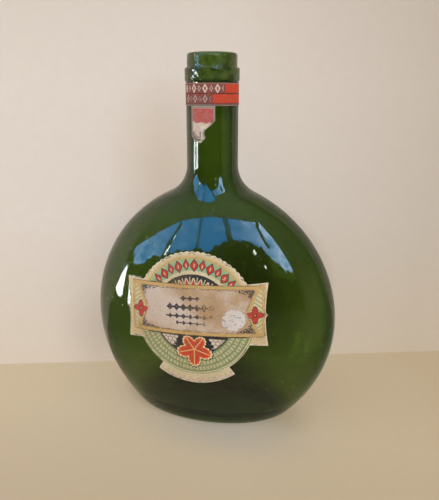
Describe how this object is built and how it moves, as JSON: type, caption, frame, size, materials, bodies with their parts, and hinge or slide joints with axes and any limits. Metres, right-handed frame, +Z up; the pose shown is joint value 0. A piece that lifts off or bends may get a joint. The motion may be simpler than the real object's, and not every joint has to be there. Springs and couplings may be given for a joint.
{
  "type": "bocksbeutel bottle",
  "caption": "Flattened round-bodied wine bottle of green glass with a straight neck and collared lip, a worn paper label on its front and a paper band with a torn tag on its neck.",
  "frame": {"origin": "centre of the base on the surface that the bottle stands on", "axes": "+Z up along the neck, +X along the body's width, -Y out of the front with the label"},
  "size_m": [0.1542, 0.0732, 0.222],
  "materials": {
    "green_glass": "glossy bottle glass, slightly wavy",
    "label_paper": "aged, scuffed printed paper",
    "neck_paper": "aged, torn printed paper"
  },
  "bodies": {
    "root": {"glass_bottle": "green_glass", "body_label": "label_paper", "neck_label": "neck_paper"}
  },
  "joints": []
}
